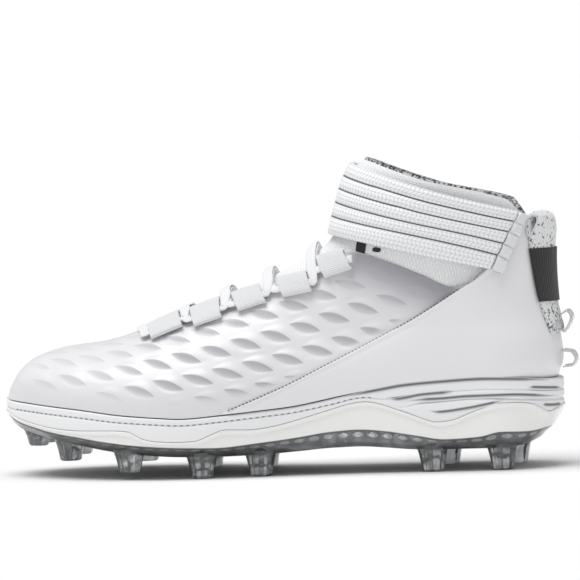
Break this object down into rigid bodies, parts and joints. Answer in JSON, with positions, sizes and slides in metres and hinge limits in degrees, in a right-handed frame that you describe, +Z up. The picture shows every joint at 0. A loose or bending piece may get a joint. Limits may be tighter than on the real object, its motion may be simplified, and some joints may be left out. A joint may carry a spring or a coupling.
{
  "type": "american_football_cleat",
  "caption": "Mid-high american football cleat for the left foot: white skin and knit upper, ribbed ankle strap, tunnel lacing and a clear studded plate.",
  "frame": {"origin": "middle of the shoe's bounding box seen from above, on the floor plane under the studs", "axes": "+X from toe to heel, +Y towards the inner (medial) side, +Z up"},
  "size_m": [0.3132, 0.1024, 0.1684],
  "materials": {
    "clear_plate": "clear smoke-grey thermoplastic, glossy",
    "foam": "moulded white foam, satin skin",
    "sock_liner": "grey brushed fabric over foam",
    "skin": "thin embossed synthetic skin, satin",
    "quarter_panel": "smooth fused film, satin",
    "knit_sleeve": "fine white knit with a grey lining",
    "strap_knit": "padded light grey knit",
    "moulded_tip": "translucent white moulded plastic",
    "tab_knit": "white woven ribbon",
    "tab_band": "black woven band",
    "clear_loop": "thin clear plastic film",
    "webbing": "flat ribbed white webbing",
    "lace": "flat woven white lace"
  },
  "bodies": {
    "root": {"outsole_plate": "clear_plate", "midsole": "foam", "insole": "sock_liner", "upper": "skin", "quarter": "quarter_panel", "sleeve": "knit_sleeve", "strap": "strap_knit", "strap_tip": "moulded_tip", "pull_tab": "tab_knit", "pull_tab_band": "tab_band", "heel_loop_upper": "clear_loop", "heel_loop_lower": "clear_loop", "lace_loop_lateral_1": "webbing", "lace_loop_lateral_2": "webbing", "lace_loop_lateral_3": "webbing", "lace_loop_lateral_4": "webbing", "lace_loop_lateral_5": "webbing", "lace_loop_medial_1": "webbing", "lace_loop_medial_2": "webbing", "lace_loop_medial_3": "webbing", "lace_loop_medial_4": "webbing", "lace_loop_medial_5": "webbing", "lace": "lace"}
  },
  "joints": []
}
